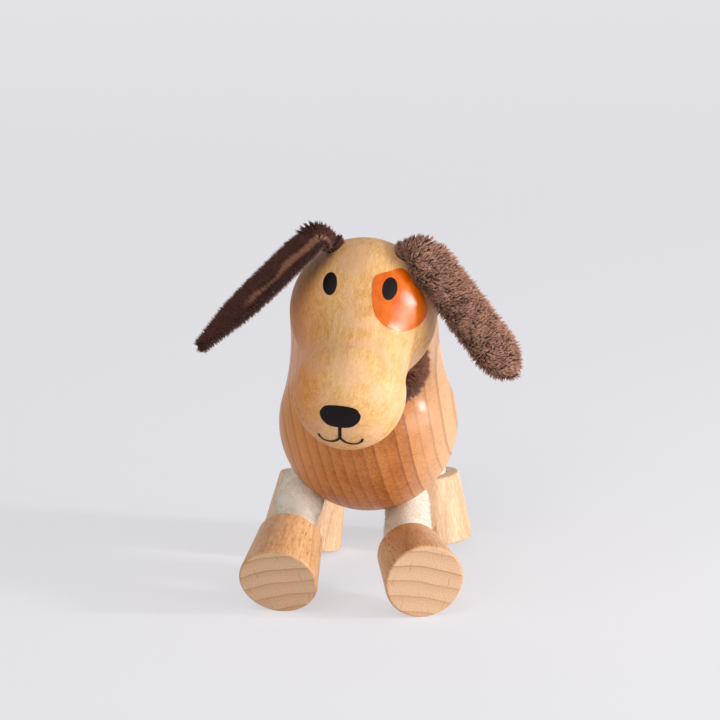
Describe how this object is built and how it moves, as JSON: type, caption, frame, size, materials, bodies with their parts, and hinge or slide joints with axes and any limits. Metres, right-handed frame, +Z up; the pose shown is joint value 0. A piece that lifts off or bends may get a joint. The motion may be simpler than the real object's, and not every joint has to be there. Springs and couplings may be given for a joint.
{
  "type": "posable wooden toy dog",
  "caption": "Standing toy dog with turned wooden head, body and feet, bendable knit-covered legs, plush ears, neck and tail, and a printed face.",
  "frame": {"origin": "on the floor, under the middle of the figure's box", "axes": "+Z up, -Y the way the dog faces, +X the dog's left"},
  "size_m": [0.0598, 0.1095, 0.0764],
  "materials": {
    "body_wood": "satin lacquer over warm straight grain",
    "head_wood": "satin lacquer over pale fine grain",
    "foot_wood": "matt, end grain on the soles",
    "knit": "fine cream knit",
    "cotton": "soft white cord",
    "wire": "plain bending wire",
    "plush": "dark brown short pile",
    "black_print": "thin satin print",
    "orange_print": "thin satin print"
  },
  "bodies": {
    "torso": {"body": "body_wood"},
    "front_left_leg": {"front_left_sleeve": "knit", "front_left_core": "cotton", "front_left_wire": "wire"},
    "front_left_foot_block": {"front_left_foot": "foot_wood"},
    "front_right_leg": {"front_right_sleeve": "knit", "front_right_core": "cotton", "front_right_wire": "wire"},
    "front_right_foot_block": {"front_right_foot": "foot_wood"},
    "rear_left_leg": {"rear_left_sleeve": "knit", "rear_left_core": "cotton", "rear_left_wire": "wire"},
    "rear_left_foot_block": {"rear_left_foot": "foot_wood"},
    "rear_right_leg": {"rear_right_sleeve": "knit", "rear_right_core": "cotton", "rear_right_wire": "wire"},
    "rear_right_foot_block": {"rear_right_foot": "foot_wood"},
    "neck": {"neck_plush": "plush", "neck_core": "cotton", "neck_wire": "wire"},
    "head_block": {"head": "head_wood", "painted_eyes": "black_print", "painted_patch": "orange_print", "painted_nose": "black_print", "painted_mouth": "black_print"},
    "left_ear_flap": {"left_ear": "plush"},
    "right_ear_flap": {"right_ear": "plush"},
    "tail_brush": {"tail": "plush"}
  },
  "joints": [
    {"name": "front_left_hip", "type": "hinge", "parent": "torso", "child": "front_left_leg", "pos_m": [0.00973, -0.00449, 0.01675], "axis": [1, 0, 0], "range_deg": [-15, 45], "deforming": ["front_left_sleeve", "front_left_core", "front_left_wire"]},
    {"name": "front_left_ankle", "type": "hinge", "parent": "front_left_leg", "child": "front_left_foot_block", "pos_m": [0.00998, -0.01806, 0.00961], "axis": [0.9809, 0.1916, 0.0345], "range_deg": [-20, 20]},
    {"name": "front_right_hip", "type": "hinge", "parent": "torso", "child": "front_right_leg", "pos_m": [-0.00921, -0.0058, 0.01982], "axis": [1, 0, 0], "range_deg": [-15, 45], "deforming": ["front_right_sleeve", "front_right_core", "front_right_wire"]},
    {"name": "front_right_ankle", "type": "hinge", "parent": "front_right_leg", "child": "front_right_foot_block", "pos_m": [-0.01255, -0.01645, 0.01209], "axis": [0.9807, -0.1771, -0.0826], "range_deg": [-20, 20]},
    {"name": "rear_left_hip", "type": "hinge", "parent": "torso", "child": "rear_left_leg", "pos_m": [0.00829, 0.02282, 0.02825], "axis": [1, 0, 0], "range_deg": [-20, 35], "deforming": ["rear_left_sleeve", "rear_left_core", "rear_left_wire"]},
    {"name": "rear_left_ankle", "type": "hinge", "parent": "rear_left_leg", "child": "rear_left_foot_block", "pos_m": [0.0147, 0.02061, 0.01424], "axis": [0.9945, 0.0072, 0.1049], "range_deg": [-20, 20]},
    {"name": "rear_right_hip", "type": "hinge", "parent": "torso", "child": "rear_right_leg", "pos_m": [-0.00789, 0.0217, 0.03088], "axis": [1, 0, 0], "range_deg": [-20, 35], "deforming": ["rear_right_sleeve", "rear_right_core", "rear_right_wire"]},
    {"name": "rear_right_ankle", "type": "hinge", "parent": "rear_right_leg", "child": "rear_right_foot_block", "pos_m": [-0.00763, 0.01732, 0.01466], "axis": [0.9817, -0.0135, -0.1901], "range_deg": [-20, 20]},
    {"name": "neck_nod", "type": "hinge", "parent": "torso", "child": "neck", "pos_m": [0.00547, -0.01726, 0.04525], "axis": [1, 0, 0], "range_deg": [-20, 25], "deforming": ["neck_plush", "neck_core", "neck_wire"]},
    {"name": "head_turn", "type": "hinge", "parent": "neck", "child": "head_block", "pos_m": [0.00437, -0.02004, 0.04875], "axis": [-0.2385, -0.6032, 0.7611], "range_deg": [-40, 40]},
    {"name": "left_ear_lift", "type": "hinge", "parent": "head_block", "child": "left_ear_flap", "pos_m": [0.008, -0.03098, 0.0708], "axis": [0.0591, -0.965, -0.2557], "range_deg": [-20, 40], "deforming": ["left_ear"]},
    {"name": "right_ear_lift", "type": "hinge", "parent": "head_block", "child": "right_ear_flap", "pos_m": [-0.00423, -0.02944, 0.07184], "axis": [0.3369, 0.915, 0.222], "range_deg": [-20, 40], "deforming": ["right_ear"]},
    {"name": "tail_wag", "type": "hinge", "parent": "torso", "child": "tail_brush", "pos_m": [0.00235, 0.0372, 0.04912], "axis": [0.0056, -0.2938, 0.9559], "range_deg": [-30, 30], "deforming": ["tail"]}
  ]
}
